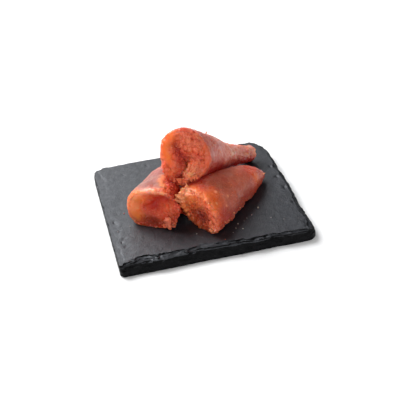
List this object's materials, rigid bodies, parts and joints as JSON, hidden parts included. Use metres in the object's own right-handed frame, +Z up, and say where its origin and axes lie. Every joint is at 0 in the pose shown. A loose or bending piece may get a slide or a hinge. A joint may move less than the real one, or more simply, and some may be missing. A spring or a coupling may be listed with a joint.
{
  "type": "mentaiko on a slate board",
  "caption": "Salted, chilli-cured cod roe sacs, torn open and stacked in a small pyramid on a square split-slate serving board.",
  "frame": {"origin": "middle of the board's underside, where it rests on the table", "axes": "+Z up; the board's sides lie along X and Y, and -Y is its front edge, nearest the camera; the torn ends of the roe sacs face -Y and -X"},
  "size_m": [0.1014, 0.1014, 0.0511],
  "materials": {
    "slate": "matt split slate with a darker knapped edge",
    "roe": "moist, translucent orange-red grainy roe in a thin pinkish skin"
  },
  "bodies": {
    "root": {"slate_board": "slate", "mentaiko_left": "roe", "mentaiko_right": "roe", "mentaiko_top": "roe"}
  },
  "joints": []
}
